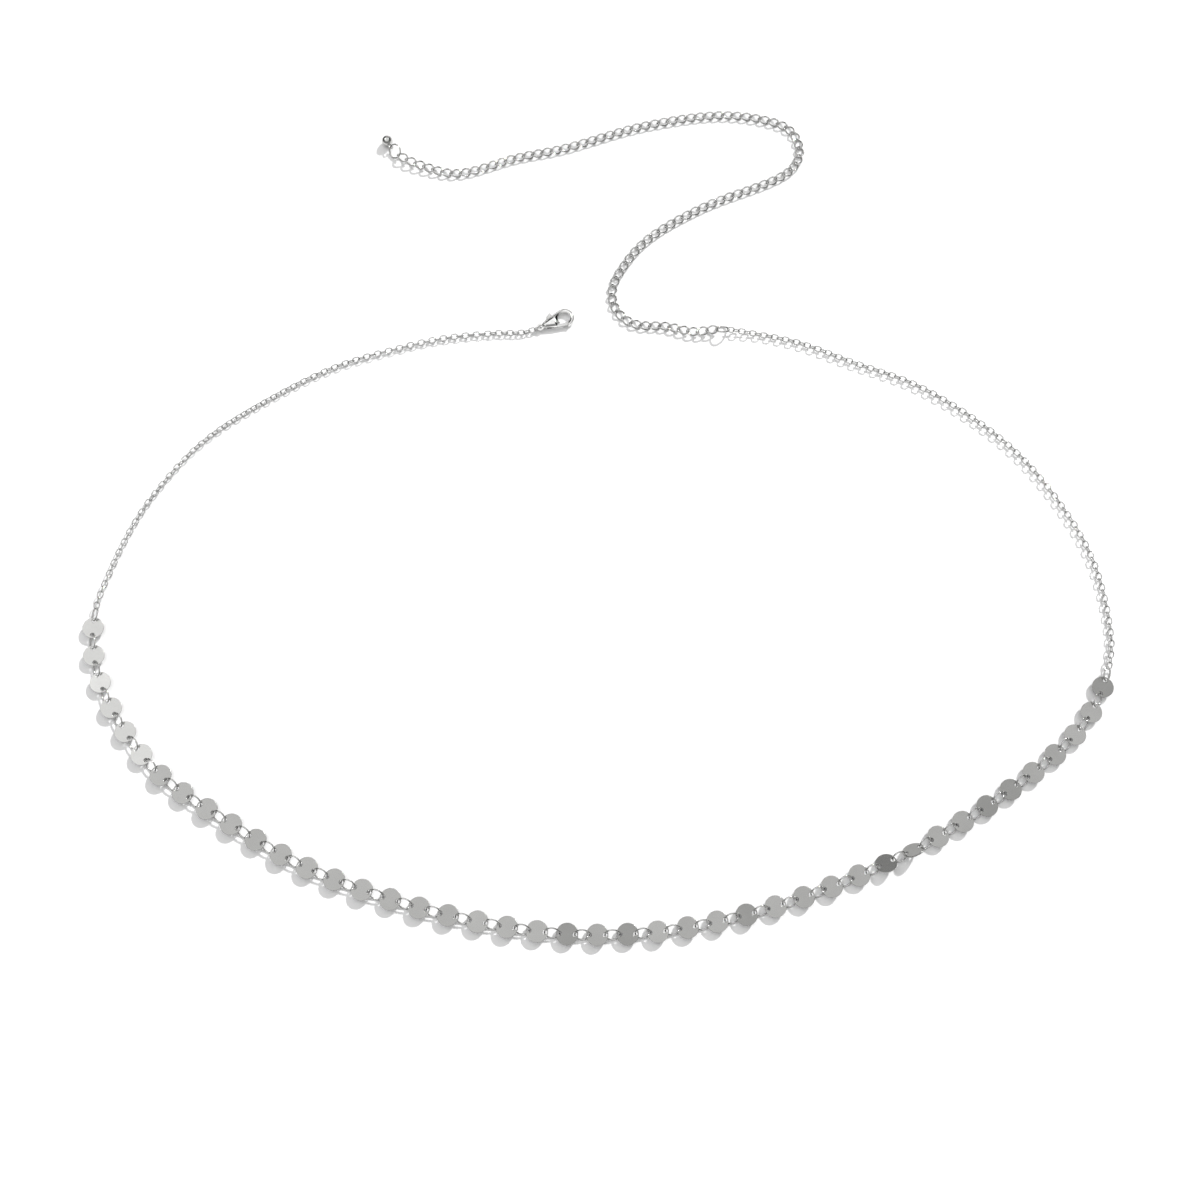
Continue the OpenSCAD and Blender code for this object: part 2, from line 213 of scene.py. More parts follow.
discRise = ringSizes["diameter"] / 2 * sine(ringSizes["tilt"]) + ringSizes["wire"] / 2
fineRise = fineSizes["width"] / 2
jumpRise = jumpSizes["diameter"] / 2 * sine(jumpSizes["tilt"]) + jumpSizes["wire"] / 2
curbRise = curbSide * sine(curbSizes["twist"] * math.sqrt(0.5)) * math.sqrt(0.5)
curbRise += curbSizes["wire"] / 2
riseTable = [
    (0.0, claspSizes["thickness"] / 2),
    (rampLength, fineRise),
    (firstRing - rampLength, fineRise),
    (firstRing, discRise),
    (lastRing + ringSizes["diameter"], discRise),
    (lastRing + ringSizes["diameter"] + rampLength, fineRise),
    (jumpStart - rampLength, fineRise),
    (jumpStart, jumpRise),
    (jumpStart + jumpSizes["diameter"], jumpRise),
    (jumpStart + jumpSizes["diameter"] + 2 * rampLength, curbRise),
    (endStart - 2 * rampLength, curbRise),
    (endStart, jumpRise),
]


def riseAt(s):
    if s <= 0:
        return riseTable[0][1]
    for (s0, z0), (s1, z1) in zip(riseTable, riseTable[1:]):
        if s <= s1:
            return z0 + (z1 - z0) * (s - s0) / (s1 - s0)
    return riseTable[-1][1]


def pointAt(s):
    return Vector((*flatAt(s), riseAt(s)))


def station(a, b, roll, tone=0.5):  # a piece whose own X axis runs from a to b
    d = b - a
    turn = (math.radians(roll), -math.atan2(d.z, math.hypot(d.x, d.y)), math.atan2(d.y, d.x))
    return {"centre": (a + b) / 2 * mm, "turn": turn, "tone": tone}


def discRoll(i):
    sway = discSizes["sway"] * (1 + sine(discSizes["swayStep"] * i))
    return -max(sway, discSizes["turned"].get(i + 1, 0.0))


def holePoint(i, side):
    roll = -discRoll(i)
    halfHeight = discSizes["diameter"] / 2 * sine(roll) + discSizes["thickness"] / 2 * cosine(roll)
    place = flatAt(firstDisc + i * discPitch + side * holeOffset)
    return Vector((*place, max(discRise, halfHeight)))


def hashTone(i, salt):  # a repeatable number from 0 to 1
    return (math.sin(i * 12.9898 + salt * 78.233) * 43758.5453) % 1.0


def stationsObject(name, stations):
    mesh = bpy.data.meshes.new(name)
    mesh.from_pydata([s["centre"] for s in stations], [], [])
    turn = mesh.attributes.new("turn", "FLOAT_VECTOR", "POINT")
    turn.data.foreach_set("vector", [v for s in stations for v in s["turn"]])
    # the tone carries the discs' random spread and their painted reflection and painted shade
    tone = mesh.attributes.new("tone", "FLOAT", "POINT")
    tone.data.foreach_set("value", [s["tone"] for s in stations])
    return placed(name, mesh)


print("chain laid out:", round(eyeStart, 1), "mm to the ball's eye")


# Node trees: each makes one link, ring or disc from its sizes and hangs a copy on every station
def startTree(name, inputs):
    tree = bpy.data.node_groups.new(name, "GeometryNodeTree")
    tree.interface.new_socket("Stations", in_out="INPUT", socket_type="NodeSocketGeometry")
    for label, kind in inputs:
        tree.interface.new_socket(label, in_out="INPUT", socket_type="NodeSocket" + kind)
    tree.interface.new_socket("Pieces", in_out="OUTPUT", socket_type="NodeSocketGeometry")
    return tree, tree.nodes.new("NodeGroupInput")


# Sockets are given by name, with _ for a space, or by place, as in n0; each gets a value or a link
def addNode(tree, kind, settings=None, **sockets):
    node = tree.nodes.new(kind)
    for key, value in (settings or {}).items():
        setattr(node, key, value)
    for key, value in sockets.items():
        live = [s for s in node.inputs if s.enabled]
        spot = live[int(key[1:])] if key[0] == "n" and key[1:].isdigit() else next(
            s for s in live if s.name == key.replace("_", " "))
        if isinstance(value, bpy.types.NodeSocket):
            tree.links.new(value, spot)
        else:
            spot.default_value = value
    return node


def mathNode(tree, operation, *values):
    terms = {f"n{k}": value for k, value in enumerate(values)}
    return addNode(tree, "ShaderNodeMath", {"operation": operation}, **terms).outputs[0]


def rangeNode(tree, value, source, target, settings=None):  # source and target are pairs
    node = addNode(
        tree, "ShaderNodeMapRange", settings, Value=value, From_Min=source[0], From_Max=source[1],
        To_Min=target[0], To_Max=target[1],
    )
    return node.outputs[0]


def sweepWire(tree, path, radius, sides, caps=False):
    profile = addNode(tree, "GeometryNodeCurvePrimitiveCircle", Resolution=sides, Radius=radius)
    swept = addNode(tree, "GeometryNodeCurveToMesh", Curve=path, Fill_Caps=caps)
    tree.links.new(profile.outputs["Curve"], swept.inputs["Profile Curve"])
    return swept.outputs[0]


def hangPieces(tree, inlet, piece, smooth=True):
    vectorKind = {"data_type": "FLOAT_VECTOR"}
    turn = addNode(tree, "GeometryNodeInputNamedAttribute", vectorKind, Name="turn")
    rotation = addNode(tree, "FunctionNodeEulerToRotation", Euler=turn.outputs["Attribute"])
    hung = addNode(
        tree, "GeometryNodeInstanceOnPoints",
        Points=inlet.outputs["Stations"], Instance=piece, Rotation=rotation.outputs[0],
    )
    real = addNode(tree, "GeometryNodeRealizeInstances", Geometry=hung.outputs[0])
    shaded = addNode(
        tree, "GeometryNodeSetShadeSmooth", Geometry=real.outputs[0], Shade_Smooth=smooth)
    dressed = addNode(
        tree, "GeometryNodeSetMaterial",
        Geometry=shaded.outputs[0], Material=inlet.outputs["Metal"],
    )
    outlet = tree.nodes.new("NodeGroupOutput")
    tree.links.new(dressed.outputs[0], outlet.inputs[0])
    return tree


def ringTree():
    tree, inlet = startTree("wireRings", [
        ("Ring radius", "Float"), ("Wire radius", "Float"), ("Seam angle", "Float"),
        ("Opening angle", "Float"), ("Metal", "Material"),
    ])
    along, around = wireSteps["ring"]
    sweep = mathNode(tree, "SUBTRACT", 2 * math.pi, inlet.outputs["Opening angle"])
    arc = addNode(
        tree, "GeometryNodeCurveArc", Resolution=along, Radius=inlet.outputs["Ring radius"],
        Start_Angle=inlet.outputs["Seam angle"], Sweep_Angle=sweep,
    )
    wire = sweepWire(tree, arc.outputs[0], inlet.outputs["Wire radius"], around, caps=True)
    return hangPieces(tree, inlet, wire)


linkInputs = [("Half length", "Float"), ("Half width", "Float"), ("Wire radius", "Float")]


def unitCircle(tree, sides):  # a circle of radius 1 and the X, Y and Z of its points
    circle = addNode(tree, "GeometryNodeCurvePrimitiveCircle", Resolution=sides, Radius=1.0)
    place = addNode(tree, "GeometryNodeInputPosition")
    axes = addNode(tree, "ShaderNodeSeparateXYZ", n0=place.outputs[0])
    return circle.outputs[0], axes.outputs


def movedCurve(tree, curve, **axes):
    spot = addNode(tree, "ShaderNodeCombineXYZ", **axes)
    moved = addNode(tree, "GeometryNodeSetPosition", Geometry=curve, Position=spot.outputs[0])
    return moved.outputs[0]


def ovalLinkTree():
    tree, inlet = startTree("ovalLinks", linkInputs + [("Metal", "Material")])
    along, around = wireSteps["fine"]
    circle, axes = unitCircle(tree, along)
    straight = mathNode(tree, "SUBTRACT", inlet.outputs["Half length"], inlet.outputs["Half width"])
    end = mathNode(tree, "MULTIPLY", mathNode(tree, "SIGN", axes[0]), straight)
    x = mathNode(tree, "MULTIPLY_ADD", axes[0], inlet.outputs["Half width"], end)
    y = mathNode(tree, "MULTIPLY", axes[1], inlet.outputs["Half width"])
    oval = movedCurve(tree, circle, n0=x, n1=y)
    wire = sweepWire(tree, oval, inlet.outputs["Wire radius"], around)
    return hangPieces(tree, inlet, wire)


def curbLinkTree():
    tree, inlet = startTree("curbLinks", linkInputs + [("Twist", "Float"), ("Metal", "Material")])
    along, around = wireSteps["curb"]
    circle, axes = unitCircle(tree, along)
    lean = mathNode(tree, "MULTIPLY", axes[0], inlet.outputs["Twist"])
    side = mathNode(tree, "MULTIPLY", axes[1], inlet.outputs["Half width"])
    x = mathNode(tree, "MULTIPLY", axes[0], inlet.outputs["Half length"])
    y = mathNode(tree, "MULTIPLY", side, mathNode(tree, "COSINE", lean))
    z = mathNode(tree, "MULTIPLY", side, mathNode(tree, "SINE", lean))
    link = movedCurve(tree, circle, n0=x, n1=y, n2=z)
    wire = sweepWire(tree, link, inlet.outputs["Wire radius"], around)
    return hangPieces(tree, inlet, wire)


def discTree():
    tree, inlet = startTree("drilledDiscs", [
        ("Radius", "Float"), ("Hole radius", "Float"), ("Hole offset", "Float"),
        ("Metal", "Material"),
    ])
    circle = "GeometryNodeCurvePrimitiveCircle"
    rim = addNode(tree, circle, Resolution=discSteps["rim"], Radius=inlet.outputs["Radius"])
    hole = addNode(tree, circle, Resolution=discSteps["hole"], Radius=inlet.outputs["Hole radius"])
    joined = addNode(tree, "GeometryNodeJoinGeometry")
    tree.links.new(rim.outputs[0], joined.inputs[0])
    for side in (-1.0, 1.0):
        reach = mathNode(tree, "MULTIPLY", inlet.outputs["Hole offset"], side)
        offset = addNode(tree, "ShaderNodeCombineXYZ", n0=reach)
        moved = addNode(
            tree, "GeometryNodeTransform", Geometry=hole.outputs[0], Translation=offset.outputs[0])
        tree.links.new(moved.outputs[0], joined.inputs[0])
    face = addNode(tree, "GeometryNodeFillCurve", Curve=joined.outputs[0])
    return hangPieces(tree, inlet, face.outputs[0], smooth=False)


def inputByName(modifier, label, value):
    for item in modifier.node_group.interface.items_tree:
        if item.item_type == "SOCKET" and item.in_out == "INPUT" and item.name == label:
            modifier[item.identifier] = value
            return
    raise KeyError(label)


def hungPiece(name, tree, stations, sizes, modifiers=()):  # the finished plain mesh of a tree
    holder = stationsObject(name + "Stations", stations)
    grow = holder.modifiers.new("pieces", "NODES")
    grow.node_group = tree
    for label, value in sizes.items():
        inputByName(grow, label, value)
    for kind, settings in modifiers:
        extra = holder.modifiers.new(kind.lower(), kind)
        for key, value in settings.items():
            setattr(extra, key, value)
    bpy.context.view_layer.update()
    graph = bpy.context.evaluated_depsgraph_get()
    mesh = bpy.data.meshes.new_from_object(
        holder.evaluated_get(graph), preserve_all_data_layers=True, depsgraph=graph)
    mesh.name = name
    bpy.data.objects.remove(holder)
    return placed(name, mesh)


print("node trees ready")


# Metals
def metalBase(name, colour, roughness):
    metal = bpy.data.materials.new(name)
    metal.use_nodes = True
    tree = metal.node_tree
    shader = tree.nodes["Principled BSDF"]
    shader.inputs["Metallic"].default_value = 1.0
    shader.inputs["Base Color"].default_value = (*colour, 1.0)
    shader.inputs["Roughness"].default_value = roughness
    return metal, tree, shader


polishSettings = {
    "colour": (0.62, 0.62, 0.61),
    "toneLow": 0.46,
    "toneHigh": 0.62,
    "claspPaintedSheenGain": 1.5,  # the cast clasp's copy of the metal is brighter than the chain's: painted sheen for the white shine of its broad faces
    # the lever's copy is brighter too, also painted sheen
    "leverPaintedSheenGain": 1.15,
    "roughness": 0.15,
    "roughnessLow": 0.03,
    "roughnessHigh": 0.1,
    "roughnessWear": (0.35, 0.7),  # noise between which the roughness rises
    "toneWear": (0.3, 0.75),
    "blueShare": 0.985,
    "wearScale": 420.0,  # per metre
    "scratchScale": 5200.0,
    "scratchDepth": 0.12,
    "scratchHeight": 0.00002,  # metres
}


def polishedSilver(name, gain):
    base = [gain * v for v in polishSettings["colour"]]
    metal, tree, shader = metalBase(name, base, polishSettings["roughness"])
    place = tree.nodes.new("ShaderNodeTexCoord")
    wear = addNode(
        tree, "ShaderNodeTexNoise", Vector=place.outputs["Object"],
        Scale=polishSettings["wearScale"], Detail=4.0, Roughness=0.6,
    )
    spread = rangeNode(
        tree, wear.outputs[0], polishSettings["roughnessWear"],
        (polishSettings["roughnessLow"], polishSettings["roughnessHigh"]))
    tree.links.new(spread, shader.inputs["Roughness"])
    tone = rangeNode(
        tree, wear.outputs[0], polishSettings["toneWear"],
        (gain * polishSettings["toneLow"], gain * polishSettings["toneHigh"]))
    colour = addNode(
        tree, "ShaderNodeCombineColor", Red=tone, Green=tone,
        Blue=mathNode(tree, "MULTIPLY", tone, polishSettings["blueShare"]),
    )
    tree.links.new(colour.outputs[0], shader.inputs["Base Color"])
    scratch = addNode(
        tree, "ShaderNodeTexNoise", Vector=place.outputs["Object"],
        Scale=polishSettings["scratchScale"], Detail=3.0, Roughness=0.5,
    )
    bump = addNode(
        tree, "ShaderNodeBump", Strength=polishSettings["scratchDepth"],
        Distance=polishSettings["scratchHeight"], Height=scratch.outputs[0],
    )
    tree.links.new(bump.outputs[0], shader.inputs["Normal"])
    return metal


satinSettings = {
    "light": (0.6, 0.6, 0.588),
    "deep": (0.25, 0.25, 0.243),
    "roughness": 0.3,
    "roughnessLow": 0.17,
    "roughnessHigh": 0.25,
    "roughnessGrain": (0.3, 0.7),  # noise between which the roughness rises
    "grainScale": 2400.0,  # per metre
    "grainStretch": (0.12, 1.0, 1.0),
    "grainDepth": 0.07,
    "grainHeight": 0.000012,  # metres
    "smudgeScale": 260.0,
    "smudgeShare": 0.12,
}


def satinSilver():
    metal, tree, shader = metalBase(
        "satinSilver", satinSettings["light"], satinSettings["roughness"])
    place = tree.nodes.new("ShaderNodeTexCoord")
    # the per-disc tone, painted reflection and painted shade among it, mixes the deep and light
    # colours
    tone = addNode(tree, "ShaderNodeAttribute", {"attribute_name": "tone"})
    stretch = addNode(
        tree, "ShaderNodeMapping", Vector=place.outputs["Object"],
        Scale=satinSettings["grainStretch"],
    )
    grain = addNode(
        tree, "ShaderNodeTexNoise", Vector=stretch.outputs[0], Scale=satinSettings["grainScale"],
        Detail=5.0, Roughness=0.65,
    )
    smudge = addNode(
        tree, "ShaderNodeTexNoise", Vector=place.outputs["Object"],
        Scale=satinSettings["smudgeScale"], Detail=3.0, Roughness=0.5,
    )
    mixed = mathNode(
        tree, "MULTIPLY_ADD", smudge.outputs[0], satinSettings["smudgeShare"], tone.outputs["Fac"])
    colour = addNode(tree, "ShaderNodeMix", {"data_type": "RGBA"}, Factor=mixed)
    colour.inputs[6].default_value = (*satinSettings["deep"], 1.0)
    colour.inputs[7].default_value = (*satinSettings["light"], 1.0)
    tree.links.new(colour.outputs[2], shader.inputs["Base Color"])
    spread = rangeNode(
        tree, grain.outputs[0], satinSettings["roughnessGrain"],
        (satinSettings["roughnessLow"], satinSettings["roughnessHigh"]))
    tree.links.new(spread, shader.inputs["Roughness"])
    bump = addNode(
        tree, "ShaderNodeBump", Strength=satinSettings["grainDepth"],
        Distance=satinSettings["grainHeight"], Height=grain.outputs[0],
    )
    tree.links.new(bump.outputs[0], shader.inputs["Normal"])
    return metal


# The clasp and the lever get brighter copies of the same metal: painted sheen
polished = polishedSilver("polishedSilver", 1.0)
castSilverPaintedSheen = polishedSilver("castSilverPaintedSheen", polishSettings["claspPaintedSheenGain"])
leverSilverPaintedSheen = polishedSilver("leverSilverPaintedSheen", polishSettings["leverPaintedSheenGain"])
satin = satinSilver()
print("metals ready")


# Discs
# Each disc's tone: a random spread, with painted reflection on the pale discs at the left and
# painted shade on the duller ones
def discToneWithPaintedLight(i):
    if i + 1 in discSizes["paintedShadeDiscs"]:
        return discSizes["paintedShadeTone"]
    least = discSizes["paintedReflectionTone"] if i < discSizes["paintedReflectionUpTo"] else discSizes["plainTone"]
    return least + discSizes["toneSpread"] * hashTone(i, 1)


discStations = [
    station(holePoint(i, -1), holePoint(i, 1), discRoll(i), discToneWithPaintedLight(i))
    for i in range(discSizes["count"])
]
discPiece = hungPiece(
    "sequinDiscs", discTree(), discStations,
    {
        "Radius": discSizes["diameter"] / 2 * mm,
        "Hole radius": holeDiameter / 2 * mm,
        "Hole offset": holeOffset * mm,
        "Metal": satin,
    },
    [
        ("SOLIDIFY", {"thickness": discSizes["thickness"] * mm, "offset": 0.0}),
        ("BEVEL", {"width": discSizes["edgeRounding"] * mm, "segments": 2, "limit_method": "ANGLE",
                   "angle_limit": math.radians(50), "harden_normals": True}),
    ],
)
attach(discPiece, "chain")
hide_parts("discs")
print("discs hung:", discSizes["count"])

# Rings between the discs
rings = ringTree()
discRingStations = [station(pointAt(firstRing), holePoint(0, -1), ringSizes["tilt"])]
for i in range(discSizes["count"] - 1):
    discRingStations.append(station(holePoint(i, 1), holePoint(i + 1, -1), ringSizes["tilt"]))
discRingStations.append(station(
    holePoint(discSizes["count"] - 1, 1), pointAt(lastRing + ringSizes["diameter"]),
    ringSizes["tilt"],
))


def ringValues(sizes):
    return {
        "Ring radius": sizes["diameter"] / 2 * mm,
        "Wire radius": sizes["wire"] / 2 * mm,
        "Seam angle": math.radians(sizes["seamAngle"]),
        "Opening angle": 2 * sizes["seam"] / sizes["diameter"],
        "Metal": polished,
    }


discRingPiece = hungPiece("discRings", rings, discRingStations, ringValues(ringSizes))
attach(discRingPiece, "chain")
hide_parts("disc_rings")

jumpStations = {
    "jumpRing": (jumpStart, jumpSizes["tilt"], "jump_ring"),
    "endRing": (endStart, -jumpSizes["tilt"], "end_ring"),
}
for name, (start, roll, node) in jumpStations.items():
    ring = hungPiece(
        name, rings,
        [station(pointAt(start), pointAt(start + jumpSizes["diameter"]), roll)],
        ringValues(jumpSizes),
    )
    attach(ring, "chain")
    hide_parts(node)
print("rings hung:", len(discRingStations) + len(jumpStations))

# Fine cable chain: every second link stands on edge
ovals = ovalLinkTree()


def fineStations(start, end, firstRoll, lastRoll):
    span = 2 * fineHalf
    count = 1 + 2 * round(((end - start - span) / fineSizes["pitch"]) / 2)
    pitch = (end - start - span) / (count - 1)
    stations = []
    for i in range(count):
        blend = i / (count - 1)
        base = firstRoll + (lastRoll - firstRoll) * blend
        roll = base + 90 * (i % 2) + fineSizes["waver"] * (hashTone(i, 3) - 0.5)
        a = start + i * pitch
        stations.append(station(pointAt(a), pointAt(a + span), roll))
    return stations


fineValues = {
    "Half length": fineHalf * mm,
    "Half width": fineSide * mm,
    "Wire radius": fineSizes["wire"] / 2 * mm,
    "Metal": polished,
}
ringSide = ringSizes["tilt"] - 90
jumpSide = jumpSizes["tilt"] - 90
fineRuns = {
    "fineChainLeft": (0.0, leftEnd, 90.0, ringSide, "fine_chain_left"),
    "fineChainRight": (rightStart, rightEnd, ringSide, jumpSide, "fine_chain_right"),
}
for name, (start, end, firstRoll, lastRoll, node) in fineRuns.items():
    run = hungPiece(name, ovals, fineStations(start, end, firstRoll, lastRoll), fineValues)
    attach(run, "chain")
    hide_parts(node)
    print(name, "faces", len(run.data.polygons))

# Curb chain of the extender, in the same two halves as the solids
curbs = curbLinkTree()
curbSplit = math.ceil(curbSizes["count"] / 2)
curbValues = {
    "Half length": curbHalf * mm,
    "Half width": curbSide * mm,
    "Wire radius": curbSizes["wire"] / 2 * mm,
    "Twist": math.radians(curbSizes["twist"]),
    "Metal": polished,
}
curbRuns = {
    "extenderLower": (0, curbSplit, "extender_lower"),
    "extenderUpper": (curbSplit, curbSizes["count"], "extender_upper"),
}
for name, (first, last, node) in curbRuns.items():
    stations = []
    for i in range(first, last):
        a = curbStart + i * curbSizes["pitch"]
        stations.append(station(pointAt(a), pointAt(a + 2 * curbHalf), 0.0))
    run = hungPiece(name, curbs, stations, curbValues)
    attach(run, "chain")
    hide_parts(node)
    print(name, "faces", len(run.data.polygons))


def joinedPiece(name, objects):
    mesh = bmesh.new()
    graph = bpy.context.evaluated_depsgraph_get()
    for o in objects:
        part = bpy.data.meshes.new_from_object(o.evaluated_get(graph))
        mesh.from_mesh(part)
        bpy.data.meshes.remove(part)
    data = bpy.data.meshes.new(name)
    mesh.to_mesh(data)
    mesh.free()
    data.materials.append(polished)
    for o in objects:
        bpy.data.objects.remove(o)
    return placed(name, data)


# Ball with its soldered eye
def ballMesh(centre, radius):
    mesh = bmesh.new()
    bmesh.ops.create_uvsphere(
        mesh, u_segments=ballSizes["sides"], v_segments=ballSizes["rows"], radius=radius)
    bmesh.ops.translate(mesh, verts=mesh.verts, vec=centre)
    for face in mesh.faces:
        face.smooth = True
    data = bpy.data.meshes.new("ball")
    mesh.to_mesh(data)
    mesh.free()
    return placed("ball", data)


eyeEnd = eyeStart + ballSizes["eye"]
ballLength = eyeEnd + ballSizes["diameter"] / 2 - ballSizes["eyeWire"]
ballCentre = Vector((*flatAt(ballLength), ballSizes["diameter"] / 2)) * mm
eyeSizes = {
    "diameter": ballSizes["eye"],
    "wire": ballSizes["eyeWire"],
    "seam": 0.02,
    "seamAngle": -1.0,  # the seam is soldered into the ball
}
eye = hungPiece(
    "ballEye", rings,
    [station(pointAt(eyeStart), pointAt(eyeEnd), 90 - jumpSizes["tilt"])],
    ringValues(eyeSizes),
)
bpy.context.view_layer.update()
endBall = joinedPiece("endBall", [ballMesh(ballCentre, ballSizes["diameter"] / 2 * mm), eye])
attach(endBall, "chain")
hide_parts("end_ball")
print("ball made")

# Clasp: the cast body is rounded from the solid, and the lever keeps its flat form with soft edges
claspLook = {
    "weldWithin": 1e-7,  # metres
    "flatWithin": 1.0,  # degrees
    "grain": 0.05,  # mm, of the remeshed casting
    "smoothing": 6,
    "smoothFactor": 0.5,
    "softRounds": 3,  # after the cheeks are raised
    "leverGrain": 0.05,
    "leverSmoothing": 8,
    "leverSoftRounds": 1,
}
claspForm = {  # lengths in mm, along the clasp from its eye
    "turn": 22.0,  # degrees
    "headAt": 7.7,
    "headRadius": 2.95,
    "tailAt": 1.625,
    "tailRadius": 0.95,
    "mouthRadius": 1.95,
    "lobe": ((4.3, -3.5), (4.65, -1.75), (5.05, -1.2), (6.3, -0.93)),
    "flatBelow": 0.47,  # height from the middle below which the casting keeps its form
    "bevelWidth": 0.9,
    "hookBevel": 0.45,
    "edgeShare": 0.05,  # height of the very edge as a share of the crown's
    "backShare": 0.35,  # the same along the straight back, which slopes more gently
    "crownCurve": 0.3,  # how far the rise from edge to crown bends
    "thinFrom": 4.5,  # along the clasp, where the cheeks start to thin towards the hook
    "thinOver": 3.5,
    "hookShare": 0.35,  # height of the hook's crown as a share of the cheeks'
}


def solidCopy(node, name, metal):
    mesh = bmesh.new()
    mesh.from_mesh(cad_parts[node].data)
    bmesh.ops.remove_doubles(mesh, verts=mesh.verts, dist=claspLook["weldWithin"])
    flat = math.radians(claspLook["flatWithin"])
    bmesh.ops.dissolve_limit(mesh, angle_limit=flat, verts=mesh.verts, edges=mesh.edges)
    data = bpy.data.meshes.new(name)
    mesh.to_mesh(data)
    mesh.free()
    data.materials.append(metal)
    return placed(name, data)


def addModifier(piece, kind, **settings):
    extra = piece.modifiers.new(kind.lower(), kind)
    for key, value in settings.items():
        setattr(extra, key, value)


def unitRange(value):
    return min(max(value, 0.0), 1.0)


# How far a place on the clasp lies from its outline and from its mouth, in mm
def edgeDistances(x, y):
    span = claspForm["headAt"] - claspForm["tailAt"]
    growth = claspForm["headRadius"] - claspForm["tailRadius"]
    slope = growth / span
    t = unitRange((x - claspForm["tailAt"] - abs(y) * slope / math.sqrt(1 - slope ** 2)) / span)
    centre = claspForm["tailAt"] + t * span
    radius = claspForm["tailRadius"] + t * growth
    outline = max(radius - math.hypot(x - centre, y), 0.0)
    head = math.hypot(x - claspForm["headAt"], y)
    inside = [abs(head - claspForm["mouthRadius"])]
    for (x0, y0), (x1, y1) in zip(claspForm["lobe"], claspForm["lobe"][1:]):
        run, climb = x1 - x0, y1 - y0
        u = unitRange(((x - x0) * run + (y - y0) * climb) / (run ** 2 + climb ** 2))
        inside.append(math.hypot(x - x0 - u * run, y - y0 - u * climb))
    return outline, min(inside)


def domeCasting(mesh):  # the cheeks and the hook rise from a thin edge to a full crown
    turn = math.radians(claspForm["turn"])
    middle = claspSizes["thickness"] / 2
    for vertex in mesh.vertices:
        dx = vertex.co.x / mm - chainRoute[0][0]
        dy = vertex.co.y / mm - chainRoute[0][1]
        z = vertex.co.z / mm - middle
        rise = abs(z) - claspForm["flatBelow"]
        if rise <= 0:
            continue
        x = dx * math.cos(turn) + dy * math.sin(turn)
        y = dy * math.cos(turn) - dx * math.sin(turn)
        headward = unitRange((x - claspForm["thinFrom"]) / claspForm["thinOver"])
        narrower = (claspForm["hookBevel"] - claspForm["bevelWidth"]) * headward
        bevel = claspForm["bevelWidth"] + narrower
        outline, mouth = edgeDistances(x, y)
        near = min(outline / bevel, mouth / bevel, 1.0)
        share = claspForm["backShare"] if y > 0 and outline < mouth else claspForm["edgeShare"]
        bend = claspForm["crownCurve"]
        crown = share + (1 - share) * ((1 + bend) * near - bend * near ** 3)
        if z > 0:  # only its top, so that its underside still rests on the floor
            crown *= 1 - (1 - claspForm["hookShare"]) * headward
        vertex.co.z = (middle + math.copysign(claspForm["flatBelow"] + rise * crown, z)) * mm


def plainMesh(piece, name, metal):
    bpy.context.view_layer.update()
    graph = bpy.context.evaluated_depsgraph_get()
    mesh = bpy.data.meshes.new_from_object(piece.evaluated_get(graph), depsgraph=graph)
    mesh.name = name
    if not mesh.materials:
        mesh.materials.append(metal)
    bpy.data.objects.remove(piece)
    return placed(name, mesh)


def softenMesh(data, rounds):
    mesh = bmesh.new()
    mesh.from_mesh(data)
    for _ in range(rounds):
        bmesh.ops.smooth_vert(
            mesh, verts=mesh.verts, factor=claspLook["smoothFactor"],
            use_axis_x=True, use_axis_y=True, use_axis_z=True,
        )
    for face in mesh.faces:
        face.smooth = True
    mesh.to_mesh(data)
    mesh.free()


def remeshed(node, name, metal, grain, smoothing):
    copy = solidCopy(node, name + "Copy", metal)
    addModifier(copy, "REMESH", mode="VOXEL", voxel_size=grain * mm, use_smooth_shade=True)
    addModifier(copy, "SMOOTH", factor=claspLook["smoothFactor"], iterations=smoothing)
    return plainMesh(copy, name, metal)


claspBody = remeshed(
    "clasp_body", "claspBody", castSilverPaintedSheen, claspLook["grain"], claspLook["smoothing"])
domeCasting(claspBody.data)
softenMesh(claspBody.data, claspLook["softRounds"])
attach(claspBody, "chain")
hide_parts("clasp_body")

claspLever = remeshed(
    "clasp_lever", "claspLever", leverSilverPaintedSheen, claspLook["leverGrain"], claspLook["leverSmoothing"])
softenMesh(claspLever.data, claspLook["leverSoftRounds"])
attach(claspLever, "lever")
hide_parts("clasp_lever")
print("clasp made:", len(claspBody.data.polygons), "faces")

# Floor and light
stageLook = {
    "floorTone": 0.9,
    "floorHalf": 20.0,  # metres
    "floorRoughness": 0.9,
    "floorShine": 0.1,
    "airHeights": (0.5, 0.87),  # of a direction, from 0 to 1: the air brightens between them
    "airTones": (0.02, 1.25),
    "sideSpan": (-0.5, 0.5),
    "sideGains": (1.08, 0.72),  # the air is brighter on the left than on the right
    "backGlow": 1.0,  # the pale paper behind the part
    "backGlowHeights": (0.2, 0.64),  # it fades between them
    "backGlowDepths": (0.72, 0.88),  # it sets in between them, towards the back
    "backGlowSides": (-0.36, -0.28),  # and between these, from the left
    "frontGlow": 0.3,  # the pale room behind the camera
    "frontGlowDepths": (-0.45, -0.1),  # it fades between them
    "keyFrom": (0.8, 1.02, 1.0),
    "keyAngle": 2.5,  # degrees
    "keyStrength": 3.0,
    "softboxPlace": (-0.8, 0.42, 1.04),
    "softboxSize": (0.5, 0.5),
    "softboxPower": 1.4,
}


